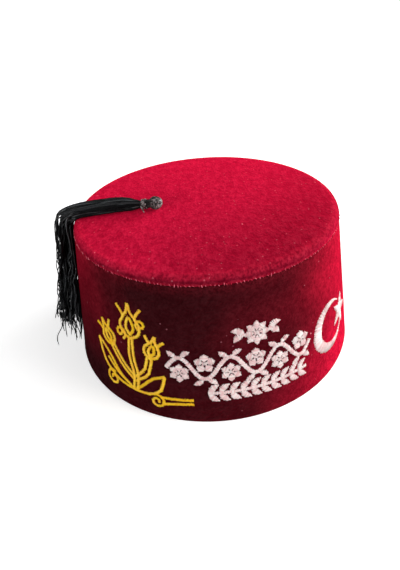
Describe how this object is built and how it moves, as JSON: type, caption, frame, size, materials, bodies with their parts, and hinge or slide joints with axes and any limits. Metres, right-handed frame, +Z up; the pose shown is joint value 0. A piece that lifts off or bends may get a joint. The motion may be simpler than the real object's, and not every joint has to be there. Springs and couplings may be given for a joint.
{
  "type": "fez hat",
  "caption": "Short flared velvet hat with a flat round top, an open rim for the head, and a black thread tassel that hangs over its edge.",
  "frame": {"origin": "on the ground, in the middle of the open rim", "axes": "+Z up through the top, -Y towards the front of the hat, -X towards the side where the tassel hangs"},
  "size_m": [0.1994, 0.184, 0.0999],
  "materials": {
    "band_velvet": "deep red velvet over stiff backing",
    "top_velvet": "crimson velvet over stiff backing",
    "tassel_thread": "black twisted thread with a little shine",
    "binding_thread": "black thread, wound tight"
  },
  "bodies": {
    "root": {"side_band": "band_velvet", "crown_top": "top_velvet", "tassel": "tassel_thread", "tassel_binding": "binding_thread"}
  },
  "joints": []
}
